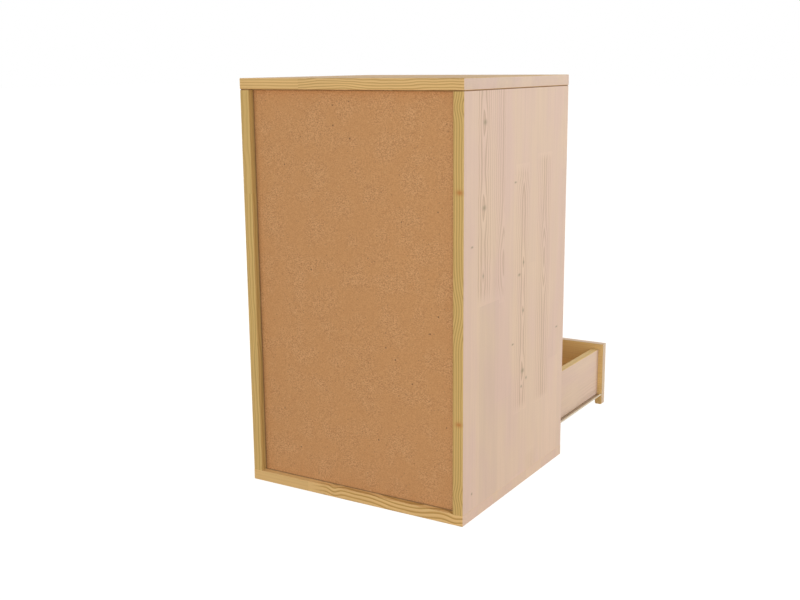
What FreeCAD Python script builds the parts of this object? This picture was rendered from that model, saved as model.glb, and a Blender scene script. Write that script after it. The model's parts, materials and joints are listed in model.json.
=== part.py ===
import FreeCAD, Part
import math
import os
import types

import Sketcher

# Drawer unit: a pine carcass with five equal inset drawers on roller runners.
# Millimetres, +Z up, front towards -Y. The origin is on the floor, under the middle of the carcass.

DRAWERS = 5
QUARTER_TURN = 90

# Small pieces that repeat have few flat sides
DOWEL_SIDES = 10
PIN_SIDES = 12
SCREW_HEAD_SIDES = 6
SCREW_SHANK_SIDES = 4

# The length under which two places are one
TINY = 1e-6

SIZES = {
    # Carcass
    "carcass_width": 420,
    "carcass_height": 700,
    "board": 18,
    "edge_radius": 2,
    "back_thickness": 3.2,
    "back_recess": 12,
    "groove_depth": 6,
    "groove_play": 0.2,
    # Carcass joints
    "dowel_diameter": 8,
    "dowel_length": 30,
    "dowel_in_board": 11,
    "dowel_inset": 60,
    "dowel_play": 0.1,
    # Drawer fronts
    "front_gap": 3,
    "front_setback": 1,
    "front_thickness": 16,
    "front_edge": 1.5,
    "grip_height": 18,
    "grip_foot": 15,
    "grip_radius": 6,
    "foot_radius": 3,
    # Drawer boxes
    "box_length": 350,
    "box_rear_gap": 7.6,
    "box_top_gap": 11.4,
    "box_side": 15,
    "box_back": 15,
    "box_back_inset": 10,
    "box_edge": 1.2,
    "housing_depth": 6,
    "bottom_thickness": 3.2,
    "bottom_lift": 10,
    "bottom_groove": 5,
    # Roller runners
    "runner_gap": 13,
    "sheet": 1.2,
    "rail_lift": 0.5,
    "rail_front_gap": 2,
    "flange_side_gap": 2.7,
    "flange_under_side": 14,
    "hem_width": 3.3,
    "rail_air": 0.5,
    "roller_diameter": 17,
    "roller_width": 7,
    "roller_air": 0.3,
    "roller_side_air": 0.8,
    "pin_diameter": 5,
    "pin_play": 0.05,
    "ear_half": 6.5,
    "ear_corner": 3,
    "front_roller_inset": 11,
    "rear_roller_inset": 22,
    "stop_distance": 26,
    "stop_air": 0.5,
    "stop_height": 4.5,
    "screw_diameter": 3.5,
    "screw_length": 12,
    "screw_head": 7,
    "screw_head_height": 1.4,
    "screw_in_side": 6,
    "screw_inset": 40,
    "slot_length": 7,
    "slot_play": 0.2,
}

doc = FreeCAD.newDocument("drawer_unit")
sheet = doc.addObject("Spreadsheet::Sheet", "Dims")
for row, (alias, number) in enumerate(SIZES.items(), start=1):
    sheet.set(f"A{row}", alias)
    sheet.set(f"B{row}", str(number))
    sheet.setAlias(f"B{row}", alias)
doc.recompute()


class Size:
    """A length that knows its number and the spreadsheet expression that gives it."""

    def __init__(self, text, number):
        self.text = text
        self.number = number

    @staticmethod
    def of(thing):
        return thing if isinstance(thing, Size) else Size(repr(thing), thing)

    def __add__(self, other):
        other = Size.of(other)
        return Size(f"({self.text} + {other.text})", self.number + other.number)

    def __sub__(self, other):
        other = Size.of(other)
        return Size(f"({self.text} - {other.text})", self.number - other.number)

    def __mul__(self, other):
        other = Size.of(other)
        return Size(f"({self.text} * {other.text})", self.number * other.number)

    def __truediv__(self, other):
        other = Size.of(other)
        return Size(f"({self.text} / {other.text})", self.number / other.number)

    def __neg__(self):
        return Size(f"(0 - {self.text})", -self.number)

    def __radd__(self, other):
        return Size.of(other) + self

    def __rsub__(self, other):
        return Size.of(other) - self

    def __rmul__(self, other):
        return Size.of(other) * self


ZERO = Size("0", 0)
d = types.SimpleNamespace(**{alias: Size(f"Dims.{alias}", number) for alias, number in SIZES.items()})

# Sizes that follow from the driving ones

half_width = d.carcass_width / 2
box_end = d.front_thickness + d.box_length
back_inset = d.back_recess + d.groove_play + d.back_thickness
half_depth = (d.front_setback + box_end + d.box_rear_gap + back_inset) / 2
side_inner = half_width - d.board
side_middle = side_inner + d.board / 2
side_height = d.carcass_height - 2 * d.board
back_groove = d.back_thickness + 2 * d.groove_play
back_groove_rear = half_depth - d.back_recess

front_half = side_inner - d.front_gap
front_height = (side_height - (DRAWERS + 1) * d.front_gap) / DRAWERS
pitch = front_height + d.front_gap
station_y = d.front_setback - half_depth
station_z = d.board + d.front_gap

# Heights and depths at a drawer's station: y from the closed front's face, z from the front's lower edge
roller_radius = d.roller_diameter / 2
channel_floor = d.rail_lift + d.sheet
channel_roof = channel_floor + d.roller_diameter + 2 * d.roller_air
flange_under = channel_roof + d.sheet + d.rail_air
box_under = flange_under + d.sheet
box_over = front_height - d.box_top_gap
box_outer = side_inner - d.runner_gap
box_inner = box_outer - d.box_side
back_y = box_end - d.box_back_inset - d.box_back
bottom_z = box_under + d.bottom_lift
bottom_slot = d.bottom_thickness + 2 * d.groove_play
rail_start = d.front_thickness + d.rail_front_gap
rail_end = rail_start + d.box_length
drawer_rail_end = box_end - d.rail_front_gap
front_roller_y = rail_start + d.front_roller_inset
front_roller_z = flange_under - d.roller_air - roller_radius
rear_roller_y = box_end - d.rear_roller_inset
rear_roller_z = channel_floor + d.roller_air + roller_radius
stop_y = front_roller_y + d.stop_distance
travel = rear_roller_y - roller_radius - d.stop_air - stop_y
rear_stop_y = rear_roller_y + roller_radius + d.stop_air
front_screw_y = front_roller_y + (roller_radius + d.stop_distance - d.sheet) / 2
rear_screw_y = (rear_stop_y + d.sheet + rail_end) / 2
screw_radius = d.screw_diameter / 2
dowel_radius = d.dowel_diameter / 2


# Document helpers


def vector(x, y):
    return FreeCAD.Vector(x.number, y.number, 0)


def place(thing, x=ZERO, y=ZERO, z=ZERO, prop="Placement"):
    """Bind where a document object stands."""
    for axis, size in zip("xyz", (x, y, z)):
        if size is not ZERO:
            thing.setExpression(f"{prop}.Base.{axis}", size.text)


def new_body(label, x=ZERO, y=ZERO, z=ZERO):
    thing = doc.addObject("PartDesign::Body", label)
    thing.Label = label
    place(thing, x, y, z)
    return thing


def new_sketch(body, role, offset=ZERO):
    """A sketch on one of the body's own planes, moved along that plane's normal."""
    sketch = body.newObject("Sketcher::SketchObject", "Sketch")
    plane = next(item for item in body.Origin.OriginFeatures if item.Role == role)
    sketch.AttachmentSupport = [(plane, "")]
    sketch.MapMode = "FlatFace"
    place(sketch, z=offset, prop="AttachmentOffset")
    return sketch


def fix(sketch, geometry, point, x, y):
    """Bind a point's two coordinates. A sketch numbers a curve's start 1, its end 2 and its centre 3."""
    for kind, size in (("DistanceX", x), ("DistanceY", y)):
        index = sketch.addConstraint(Sketcher.Constraint(kind, -1, 1, geometry, point, size.number))
        sketch.setExpression(f"Constraints[{index}]", size.text)


def polygon(sketch, points):
    """A closed outline of straight edges."""
    first = sketch.GeometryCount
    count = len(points)
    for index, start in enumerate(points):
        end = points[(index + 1) % count]
        sketch.addGeometry(Part.LineSegment(vector(*start), vector(*end)), False)
    for index, point in enumerate(points):
        before = first + (index - 1) % count
        sketch.addConstraint(Sketcher.Constraint("Coincident", first + index, 1, before, 2))
        fix(sketch, first + index, 1, *point)


def rectangle(sketch, x0, x1, y0, y1):
    polygon(sketch, [(x0, y0), (x1, y0), (x1, y1), (x0, y1)])


def circle(sketch, x, y, radius):
    shape = Part.Circle(vector(x, y), FreeCAD.Vector(0, 0, 1), radius.number)
    geometry = sketch.addGeometry(shape, False)
    fix(sketch, geometry, 3, x, y)
    index = sketch.addConstraint(Sketcher.Constraint("Radius", geometry, radius.number))
    sketch.setExpression(f"Constraints[{index}]", radius.text)


def regular(sketch, x, y, radius, sides):
    """A closed outline of equal straight edges with its corners on a circle."""
    turns = [2 * math.pi * index / sides for index in range(sides)]
    polygon(sketch, [(x + radius * math.cos(turn), y + radius * math.sin(turn)) for turn in turns])


def pad(body, sketch, length, backwards=False):
    feature = body.newObject("PartDesign::Pad", "Pad")
    feature.Profile = sketch
    feature.Reversed = backwards
    feature.setExpression("Length", length.text)
    doc.recompute()
    return feature


def pocket(body, sketch, length, backwards=False):
    """Cut a sketch into the body, and make sure that it met the solid."""
    before = body.Shape.Volume
    feature = body.newObject("PartDesign::Pocket", "Pocket")
    feature.Profile = sketch
    feature.Reversed = backwards
    feature.setExpression("Length", length.text)
    doc.recompute()
    if body.Shape.Volume >= before:
        raise RuntimeError(f"a pocket of {body.Label} cuts nothing")
    return feature


def dress(body, kind, prop, size, chosen):
    """Fillet or chamfer the edges that chosen(edge) picks from the body's present shape."""
    base = body.Tip
    names = [f"Edge{index}" for index, edge in enumerate(base.Shape.Edges, start=1) if chosen(edge)]
    feature = body.newObject(f"PartDesign::{kind}", kind)
    feature.Base = (base, names)
    feature.setExpression(prop, size.text)
    doc.recompute()
    return feature


def fillet(body, radius, chosen):
    return dress(body, "Fillet", "Radius", radius, chosen)


def chamfer(body, size, chosen):
    return dress(body, "Chamfer", "Size", size, chosen)


def along(edge, axis):
    """Whether an edge runs straight along x, y or z."""
    box = edge.BoundBox
    spans = {"x": box.XLength, "y": box.YLength, "z": box.ZLength}
    return spans.pop(axis) > TINY and max(spans.values()) < TINY


def at(value, size):
    return abs(value - size.number) < TINY


def mirrored(thing):
    """The same piece on the other side of the unit's middle plane."""
    copy = doc.addObject("Part::Mirroring", f"{thing.Name}_mirrored")
    copy.Source = thing
    copy.Normal = (1, 0, 0)
    return copy


def copied(master, x, y, z):
    link = doc.addObject("App::Link", f"{master.Name}_copy")
    link.LinkedObject = master
    place(link, x, y, z)
    return link


def group(label, pieces, y=ZERO, z=ZERO):
    """One node that holds several separate pieces."""
    node = doc.addObject("Part::Compound", label)
    node.Label = label
    node.Links = pieces
    place(node, y=y, z=z)
    return node


# Carcass


def dowel_places():
    """Where the dowels stand in the four corners of the carcass, seen from above."""
    reach = half_depth - d.dowel_inset
    return [(x, y) for x in (-side_middle, side_middle) for y in (-reach, reach)]


def dowel_outline(sketch, x, y, play=ZERO):
    regular(sketch, x, y, dowel_radius + play, DOWEL_SIDES)


def end_board(label, z, rounded, inner_face, drill_up):
    """The top or the bottom board, with its back groove and its dowel holes in the inner face."""
    body = new_body(label, z=z)
    sketch = new_sketch(body, "XY_Plane")
    rectangle(sketch, -half_width, half_width, -half_depth, half_depth)
    pad(body, sketch, d.board)
    fillet(body, d.edge_radius, rounded)
    sketch = new_sketch(body, "XY_Plane", inner_face)
    reach = side_inner + d.groove_depth
    rectangle(sketch, -reach, reach, back_groove_rear - back_groove, back_groove_rear)
    pocket(body, sketch, d.groove_depth, drill_up)
    sketch = new_sketch(body, "XY_Plane", inner_face)
    for x, y in dowel_places():
        dowel_outline(sketch, x, y, d.dowel_play)
    pocket(body, sketch, d.dowel_in_board + d.dowel_play, drill_up)
    return body


def side_panel(label, inner, outward):
    """A side board. outward is 1 on the right, where the inner face looks towards -X, and -1 on the left."""
    right = outward > 0
    body = new_body(label, x=inner, z=d.board)
    sketch = new_sketch(body, "YZ_Plane")
    rectangle(sketch, -half_depth, half_depth, ZERO, side_height)
    pad(body, sketch, d.board, not right)
    fillet(body, d.edge_radius, lambda edge: along(edge, "z"))
    sketch = new_sketch(body, "YZ_Plane")
    rectangle(sketch, back_groove_rear - back_groove, back_groove_rear, ZERO, side_height)
    pocket(body, sketch, d.groove_depth, right)
    depth = d.dowel_length - d.dowel_in_board + d.dowel_play
    reach = half_depth - d.dowel_inset
    for end, upwards in ((ZERO, True), (side_height, False)):
        sketch = new_sketch(body, "XY_Plane", end)
        for y in (-reach, reach):
            dowel_outline(sketch, outward * d.board / 2, y, d.dowel_play)
        pocket(body, sketch, depth, upwards)
    return body


def back_panel():
    reach = side_inner + d.groove_depth - d.groove_play
    height = side_height + 2 * (d.groove_depth - d.groove_play)
    low = d.board - d.groove_depth + d.groove_play
    body = new_body("back_panel", y=back_groove_rear - d.groove_play, z=low)
    sketch = new_sketch(body, "XZ_Plane")
    rectangle(sketch, -reach, reach, ZERO, height)
    pad(body, sketch, d.back_thickness)
    return body


def dowels():
    """Fluted dowels, half in the end boards and half in the sides."""
    master = new_body("dowel_master")
    sketch = new_sketch(master, "XY_Plane")
    dowel_outline(sketch, ZERO, ZERO)
    pad(master, sketch, d.dowel_length)
    low = d.board - d.dowel_in_board
    high = d.carcass_height - d.board + d.dowel_in_board - d.dowel_length
    return group("carcass_dowels", [copied(master, x, y, z) for x, y in dowel_places() for z in (low, high)])


def carcass():
    """Five boards and their dowels. The sides stand between the top and the bottom, flush with their ends."""

    def upright(edge):
        return along(edge, "z")

    def level(edge):
        return not upright(edge)

    return [
        end_board("bottom_panel", ZERO, upright, d.board, False),
        end_board("top_panel", d.carcass_height - d.board, level, ZERO, True),
        side_panel("left_side_panel", -side_inner, -1),
        side_panel("right_side_panel", side_inner, 1),
        back_panel(),
        dowels(),
    ]


# Runners, drawn on the right at a drawer's station


def roller_master():
    """A nylon wheel on the X axis, from x 0, with a bore that runs on its pin."""
    body = new_body("roller_master")
    sketch = new_sketch(body, "YZ_Plane")
    circle(sketch, ZERO, ZERO, roller_radius)
    circle(sketch, ZERO, ZERO, d.pin_diameter / 2 + d.pin_play)
    pad(body, sketch, d.roller_width)
    return body


def roller_pin(body, y, z, plate, inwards):
    """A roller's pin, riveted into a plate's face at x = plate."""
    sketch = new_sketch(body, "YZ_Plane", plate)
    regular(sketch, y, z, d.pin_diameter / 2, PIN_SIDES)
    pad(body, sketch, d.roller_side_air + d.roller_width + d.roller_air, inwards)


def screw_slot(across, along_rail):
    """The limits of a slot along a rail, which lets its screw be set in the right place."""
    half = screw_radius + d.slot_play
    reach = d.slot_length / 2
    return across - half, across + half, along_rail - reach, along_rail + reach


def cabinet_rail():
    """A C-shaped rail: its roof stops short of the front roller and bends down there as the drawer's stop."""
    web_inner = side_inner - d.sheet
    lip = box_outer + d.sheet + d.roller_side_air
    roof = channel_roof + d.sheet
    body = new_body("cabinet_rail_master")
    sketch = new_sketch(body, "XZ_Plane", -rail_start)
    polygon(sketch, [
        (lip, d.rail_lift),
        (side_inner, d.rail_lift),
        (side_inner, roof),
        (lip, roof),
        (lip, channel_roof),
        (web_inner, channel_roof),
        (web_inner, channel_floor),
        (lip, channel_floor),
    ])
    pad(body, sketch, d.box_length, True)
    sketch = new_sketch(body, "YZ_Plane", lip)
    rectangle(sketch, rail_start, stop_y - d.sheet, channel_roof, roof)
    pocket(body, sketch, web_inner - lip, True)
    for start in (stop_y - d.sheet, rear_stop_y):
        sketch = new_sketch(body, "YZ_Plane", lip)
        rectangle(sketch, start, start + d.sheet, channel_roof - d.stop_height, channel_roof)
        pad(body, sketch, web_inner - lip)
    roller_pin(body, front_roller_y, front_roller_z, web_inner, True)
    sketch = new_sketch(body, "YZ_Plane", web_inner)
    for y in (front_screw_y, rear_screw_y):
        z0, z1, y0, y1 = screw_slot(rear_roller_z, y)
        rectangle(sketch, y0, y1, z0, z1)
    pocket(body, sketch, d.sheet, True)
    return body


def drawer_rail():
    """A flange under the drawer side, hemmed along its outer edge, with an ear for the rear roller."""
    outer = side_inner - d.flange_side_gap
    inner = box_outer - d.flange_under_side
    body = new_body("drawer_rail_master")
    sketch = new_sketch(body, "XZ_Plane", -rail_start)
    polygon(sketch, [
        (inner, flange_under),
        (outer, flange_under),
        (outer, box_under + d.sheet),
        (outer - d.hem_width, box_under + d.sheet),
        (outer - d.hem_width, box_under),
        (inner, box_under),
    ])
    pad(body, sketch, drawer_rail_end - rail_start, True)
    tip = d.ear_half - d.ear_corner
    ear_foot = rear_roller_z - d.ear_half
    sketch = new_sketch(body, "YZ_Plane", box_outer)
    polygon(sketch, [
        (rear_roller_y - d.ear_half, flange_under),
        (rear_roller_y - d.ear_half, ear_foot + d.ear_corner),
        (rear_roller_y - tip, ear_foot),
        (rear_roller_y + tip, ear_foot),
        (rear_roller_y + d.ear_half, ear_foot + d.ear_corner),
        (rear_roller_y + d.ear_half, flange_under),
    ])
    pad(body, sketch, d.sheet)
    roller_pin(body, rear_roller_y, rear_roller_z, box_outer + d.sheet, False)
    sketch = new_sketch(body, "XY_Plane", flange_under)
    for y in drawer_screw_places():
        rectangle(sketch, *screw_slot(box_outer - d.screw_in_side, y))
    pocket(body, sketch, d.sheet, True)
    return body


def drawer_screw_places():
    return (rail_start + d.screw_inset, drawer_rail_end - d.screw_inset)


def screw_master():
    """A pan-head screw along Z: the head hangs below z 0, and the shank stands above it."""
    body = new_body("screw_master")
    sketch = new_sketch(body, "XY_Plane")
    regular(sketch, ZERO, ZERO, d.screw_head / 2, SCREW_HEAD_SIDES)
    pad(body, sketch, d.screw_head_height, True)
    sketch = new_sketch(body, "XY_Plane")
    regular(sketch, ZERO, ZERO, screw_radius, SCREW_SHANK_SIDES)
    pad(body, sketch, d.screw_length)
    return body


def side_screw(master, y, z, right):
    """A screw driven outwards through a cabinet rail's web."""
    link = copied(master, side_inner - d.sheet if right else d.sheet - side_inner, y, z)
    turn = QUARTER_TURN if right else -QUARTER_TURN
    link.Placement.Rotation = FreeCAD.Rotation(FreeCAD.Vector(0, 1, 0), turn)
    return link


# Drawers, drawn at their station


def drawer_front(label, y, z):
    """An inset front whose lower edge is cut up between two feet, as a grip for the fingers."""
    grip_half = front_half - d.grip_foot
    body = new_body(label, y=y, z=z)
    sketch = new_sketch(body, "XZ_Plane")
    polygon(sketch, [
        (-front_half, ZERO),
        (-grip_half, ZERO),
        (-grip_half, d.grip_height),
        (grip_half, d.grip_height),
        (grip_half, ZERO),
        (front_half, ZERO),
        (front_half, front_height),
        (-front_half, front_height),
    ])
    pad(body, sketch, d.front_thickness, True)

    def upright(edge):
        return along(edge, "y")

    def inner_corner(edge):
        middle = edge.CenterOfMass
        return upright(edge) and at(abs(middle.x), grip_half) and at(middle.z, d.grip_height)

    def foot_corner(edge):
        middle = edge.CenterOfMass
        return upright(edge) and at(middle.z, ZERO)

    def top_edge(edge):
        return along(edge, "x") and at(edge.CenterOfMass.z, front_height)

    fillet(body, d.grip_radius, inner_corner)
    fillet(body, d.foot_radius, foot_corner)
    chamfer(body, d.front_edge, top_edge)

    housing = -(d.front_thickness - d.housing_depth)
    for x0, x1 in ((-box_outer, -box_inner), (box_inner, box_outer)):
        sketch = new_sketch(body, "XZ_Plane", housing)
        rectangle(sketch, x0, x1, box_under, box_over + d.groove_play)
        pocket(body, sketch, d.housing_depth)
    sketch = new_sketch(body, "XZ_Plane", -(d.front_thickness - d.bottom_groove))
    rectangle(sketch, -box_inner, box_inner, bottom_z, bottom_z + bottom_slot)
    pocket(body, sketch, d.bottom_groove)
    return body


def drawer_side(label, y, z, outward):
    """A drawer side with a groove for the bottom and a housing for the back, in its inner face."""
    right = outward > 0
    inner = outward * box_inner
    body = new_body(label, x=inner, y=y, z=z)
    start = d.front_thickness - d.housing_depth
    sketch = new_sketch(body, "YZ_Plane")
    rectangle(sketch, start, box_end, box_under, box_over)
    pad(body, sketch, d.box_side, not right)

    def top_edge(edge):
        return along(edge, "y") and at(edge.CenterOfMass.z, box_over)

    chamfer(body, d.box_edge, top_edge)
    sketch = new_sketch(body, "YZ_Plane")
    rectangle(sketch, start, box_end, bottom_z, bottom_z + bottom_slot)
    pocket(body, sketch, d.bottom_groove, right)
    sketch = new_sketch(body, "YZ_Plane")
    rectangle(sketch, back_y - d.groove_play, back_y + d.box_back + d.groove_play, bottom_z, box_over)
    pocket(body, sketch, d.bottom_groove, right)
    return body


def drawer_back(label, y, z):
    reach = box_inner + d.bottom_groove - d.groove_play
    body = new_body(label, y=y, z=z)
    sketch = new_sketch(body, "XZ_Plane", -back_y)
    rectangle(sketch, -reach, reach, bottom_z + bottom_slot, box_over - d.groove_play)
    pad(body, sketch, d.box_back, True)
    return body


def drawer_bottom(label, y, z):
    reach = box_inner + d.bottom_groove - d.groove_play
    start = d.front_thickness - d.bottom_groove + d.groove_play
    body = new_body(label, y=y, z=z)
    sketch = new_sketch(body, "XY_Plane", bottom_z + d.groove_play)
    rectangle(sketch, -reach, reach, start, back_y + d.box_back)
    pad(body, sketch, d.bottom_thickness)
    return body


def drawers():
    """Every drawer with its runners. The lowest stands open against its stops, the others are closed."""
    nodes = []
    roller = roller_master()
    screw = screw_master()
    cabinet_rails = [cabinet_rail()]
    cabinet_rails.append(mirrored(cabinet_rails[0]))
    drawer_rails = [drawer_rail()]
    drawer_rails.append(mirrored(drawer_rails[0]))
    front_x = side_inner - d.sheet - d.roller_side_air - d.roller_width
    rear_x = box_outer + d.sheet + d.roller_side_air
    front_rollers = [
        copied(roller, x, front_roller_y, front_roller_z)
        for x in (-front_x - d.roller_width, front_x)
    ]
    rear_rollers = [
        copied(roller, x, rear_roller_y, rear_roller_z)
        for x in (-rear_x - d.roller_width, rear_x)
    ]
    screw_x = box_outer - d.screw_in_side
    rail_screws = [
        copied(screw, x, y, flange_under)
        for x in (-screw_x, screw_x)
        for y in drawer_screw_places()
    ]
    cabinet_screws = []
    for level in range(DRAWERS):
        number = level + 1
        z = station_z + level * pitch
        y = station_y - travel if level == 0 else station_y
        nodes.append(group(f"cabinet_rails_{number}", cabinet_rails, station_y, z))
        nodes.append(group(f"front_rollers_{number}", front_rollers, station_y, z))
        nodes.append(drawer_front(f"drawer_{number}_front", y, z))
        nodes.append(drawer_side(f"drawer_{number}_left_side", y, z, -1))
        nodes.append(drawer_side(f"drawer_{number}_right_side", y, z, 1))
        nodes.append(drawer_back(f"drawer_{number}_back", y, z))
        nodes.append(drawer_bottom(f"drawer_{number}_bottom", y, z))
        nodes.append(group(f"drawer_{number}_rails", drawer_rails, y, z))
        nodes.append(group(f"drawer_{number}_rail_screws", rail_screws, y, z))
        nodes.append(group(f"rear_rollers_{number}", rear_rollers, y, z))
        for right in (False, True):
            for screw_y in (front_screw_y, rear_screw_y):
                cabinet_screws.append(side_screw(screw, station_y + screw_y, z + rear_roller_z, right))
    nodes.append(group("cabinet_rail_screws", cabinet_screws))
    return nodes


# Build, test and write

nodes = carcass() + drawers()
doc.recompute()
for thing in doc.Objects:
    if "Invalid" in thing.State or "Error" in thing.State:
        raise RuntimeError(f"{thing.Label} failed: {thing.State}")
for node in nodes:
    if node.Shape.isNull() or not node.Shape.isValid():
        raise RuntimeError(f"{node.Label} has no valid shape")

os.makedirs("parts", exist_ok=True)
for node in nodes:
    node.Shape.exportStep(f"parts/{node.Label}.step")
print(f"{len(nodes)} nodes, {sum(len(node.Shape.Solids) for node in nodes)} solids, "
      f"drawer travel {travel.number:.2f}, front height {front_height.number:.2f}")
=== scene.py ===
import json
import math
from collections import namedtuple

import bmesh
import bpy
from mathutils import Matrix, Vector

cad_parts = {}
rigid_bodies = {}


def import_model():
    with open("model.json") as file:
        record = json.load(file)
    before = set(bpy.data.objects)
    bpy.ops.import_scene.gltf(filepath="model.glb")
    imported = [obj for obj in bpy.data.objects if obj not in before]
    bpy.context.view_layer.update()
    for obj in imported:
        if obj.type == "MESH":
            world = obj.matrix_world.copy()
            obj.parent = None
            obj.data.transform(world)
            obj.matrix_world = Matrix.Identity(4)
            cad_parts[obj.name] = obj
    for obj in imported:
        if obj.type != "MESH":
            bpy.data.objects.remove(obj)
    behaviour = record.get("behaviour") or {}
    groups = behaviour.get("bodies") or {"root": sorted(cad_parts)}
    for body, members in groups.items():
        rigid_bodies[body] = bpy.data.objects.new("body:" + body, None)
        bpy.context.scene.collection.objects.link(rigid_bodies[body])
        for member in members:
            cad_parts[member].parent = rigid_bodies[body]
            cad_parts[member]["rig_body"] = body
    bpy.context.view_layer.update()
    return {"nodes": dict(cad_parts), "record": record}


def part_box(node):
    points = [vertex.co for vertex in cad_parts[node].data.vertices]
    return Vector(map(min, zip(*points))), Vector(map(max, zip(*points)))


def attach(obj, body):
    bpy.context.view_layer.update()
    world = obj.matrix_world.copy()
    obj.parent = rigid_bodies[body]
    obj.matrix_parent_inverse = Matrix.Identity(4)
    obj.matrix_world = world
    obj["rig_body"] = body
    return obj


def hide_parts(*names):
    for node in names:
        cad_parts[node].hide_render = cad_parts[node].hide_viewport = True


# A pine drawer unit with five drawers on roller runners. Metres, +Z up, front towards -Y.

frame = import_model()

DRAWERS = 5
slots = {part["node"]: part["material_slot"] for part in frame["record"]["subparts"]}

# Camera

IMAGE_WIDTH = 800
FOCAL_PIXELS = 1100.8
SENSOR = 36.0
AIM = Vector((0.02187, 0.0, 0.30841))
DISTANCE = 1.9658
AZIMUTH = 211.444
ELEVATION = 12.137
ROLL = -0.492


def add_camera():
    """Looks at the unit from behind its left side, a little above the middle."""
    azimuth = math.radians(AZIMUTH)
    elevation = math.radians(ELEVATION)
    level = math.cos(elevation)
    back = Vector((math.sin(azimuth) * level, -math.cos(azimuth) * level, math.sin(elevation)))
    right = Vector((0, 0, 1)).cross(back).normalized()
    up = back.cross(right)
    turn = Matrix((right, up, back)).transposed() @ Matrix.Rotation(math.radians(ROLL), 3, "Z")
    data = bpy.data.cameras.new("camera")
    data.sensor_width = SENSOR
    data.lens = FOCAL_PIXELS * SENSOR / IMAGE_WIDTH
    camera = bpy.data.objects.new("camera", data)
    camera.matrix_world = Matrix.Translation(AIM + back * DISTANCE) @ turn.to_4x4()
    bpy.context.scene.collection.objects.link(camera)
    bpy.context.scene.camera = camera


# Shader maths

SQUARE_FROM = 0.8
SQUARE_FULL = 0.97


class Wire:
    """One output of a material's nodes. Arithmetic on wires adds Math nodes, and node() adds any other."""

    def __init__(self, tree, socket=None):
        self.tree = tree
        self.socket = socket

    def node(self, kind, settings=None, inputs=None, output=0):
        made = self.tree.nodes.new(f"ShaderNode{kind}")
        for name, value in (settings or {}).items():
            setattr(made, name, value)
        for name, value in (inputs or {}).items():
            if isinstance(value, Wire):
                self.tree.links.new(value.socket, made.inputs[name])
            else:
                made.inputs[name].default_value = value
        return Wire(self.tree, made.outputs[output] if made.outputs else None)

    def math(self, operation, *values):
        return self.node("Math", {"operation": operation}, dict(enumerate(values)))

    def __add__(self, other):
        return self.math("ADD", self, other)

    def __radd__(self, other):
        return self.math("ADD", other, self)

    def __sub__(self, other):
        return self.math("SUBTRACT", self, other)

    def __rsub__(self, other):
        return self.math("SUBTRACT", other, self)

    def __mul__(self, other):
        return self.math("MULTIPLY", self, other)

    def __rmul__(self, other):
        return self.math("MULTIPLY", other, self)

    def __truediv__(self, other):
        return self.math("DIVIDE", self, other)

    def __rtruediv__(self, other):
        return self.math("DIVIDE", other, self)

    def __pow__(self, other):
        return self.math("POWER", self, other)

    def __abs__(self):
        return self.math("ABSOLUTE", self)

    def __lt__(self, other):
        return self.math("LESS_THAN", self, other)

    def __gt__(self, other):
        return self.math("GREATER_THAN", self, other)

    def floor(self):
        return self.math("FLOOR", self)

    def fraction(self):
        return self.math("FRACT", self)

    def rise(self, low, high):
        """0 below low, 1 above high, with a soft step between."""
        return self.node("MapRange", {"interpolation_type": "SMOOTHSTEP"}, {0: self, 1: low, 2: high})

    def squarely(self):
        """1 where this part of a face's direction shows that the face looks squarely that way."""
        return self.rise(SQUARE_FROM, SQUARE_FULL)

    def between(self, low, high):
        """The number at this share of the way from low to high."""
        return low + self * (high - low)

    def tint(self, low, high):
        """The colour at this share of the way from low to high."""
        return self.node("Mix", {"data_type": "RGBA"}, {0: self, 6: low, 7: high}, output=2)

    def parts(self):
        """The three numbers of a vector or a colour."""
        split = self.node("SeparateXYZ", inputs={0: self})
        return [Wire(self.tree, output) for output in split.socket.node.outputs]

    def vector(self, x, y, z):
        return self.node("CombineXYZ", inputs={0: x, 1: y, 2: z})


def srgb(red, green, blue):
    """A colour given as 0 to 255 on the screen, in the linear numbers that sockets hold."""

    def linear(level):
        level /= 255
        return level / 12.92 if level <= 0.04045 else ((level + 0.055) / 1.055) ** 2.4

    return (linear(red), linear(green), linear(blue), 1.0)


def new_material(name):
    material = bpy.data.materials.new(name)
    material.use_nodes = True
    material.node_tree.nodes.clear()
    return material, Wire(material.node_tree)


def surface(start, **inputs):
    """Finish a material with a Principled shader. Underscores in the socket names stand for spaces."""
    named = {key.replace("_", " "): value for key, value in inputs.items()}
    shader = start.node("BsdfPrincipled", inputs=named)
    start.node("OutputMaterial", inputs={"Surface": shader})


def millimetres(start):
    """The place on the piece, as x, y and z in millimetres."""
    place = start.node("TexCoord", output=3)
    return place.node("VectorMath", {"operation": "SCALE"}, {0: place, "Scale": 1000.0}).parts()


# Pine: boards glued up from staves, each stave finger-jointed from shorter lengths. All in millimetres

PLAIN_RING = 3.4
PLAIN_RING_WIDEST = 1.6
PLAIN_UNEVENNESS = 1.6
TOLD_UNEVENNESS = 0.3
PLAIN_SWAY = (1, 5)
EDGE_SWAY = 4.0
FACE_SWAY = 1.5
HEART_ASIDE = (30, 140)
HEART_DEPTH = (12, 70)
EVERYWHERE = 1000
EDGE_CONTRAST = (0.2, 0.5)
FACE_CONTRAST = (0.04, 0.14)
EDGE_GAIN = 1.6
TONE_RANGE = 0.04
LATE_START = 0.35
LATE_PEAK = 0.88
RIPPLE = 5.0
HEART_PALE = 5.0
KNOT_FLOW_ALONG = 44.0
KNOT_FLOW_ACROSS = 4.5
KNOT_STRENGTH = 0.95
# The pale colours are the wood under a painted sheen of light, used on outward faces
EARLY_PALE = (srgb(235, 208, 194), srgb(234, 210, 188))
LATE_PALE = srgb(192, 162, 132)
KNOT_PALE = srgb(172, 154, 128)
KNOT_GOLD = srgb(204, 138, 78)
GOLD = (srgb(243, 207, 144), srgb(190, 148, 78))
OLIVE_GOLD = (srgb(228, 196, 128), srgb(174, 138, 66))
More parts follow.
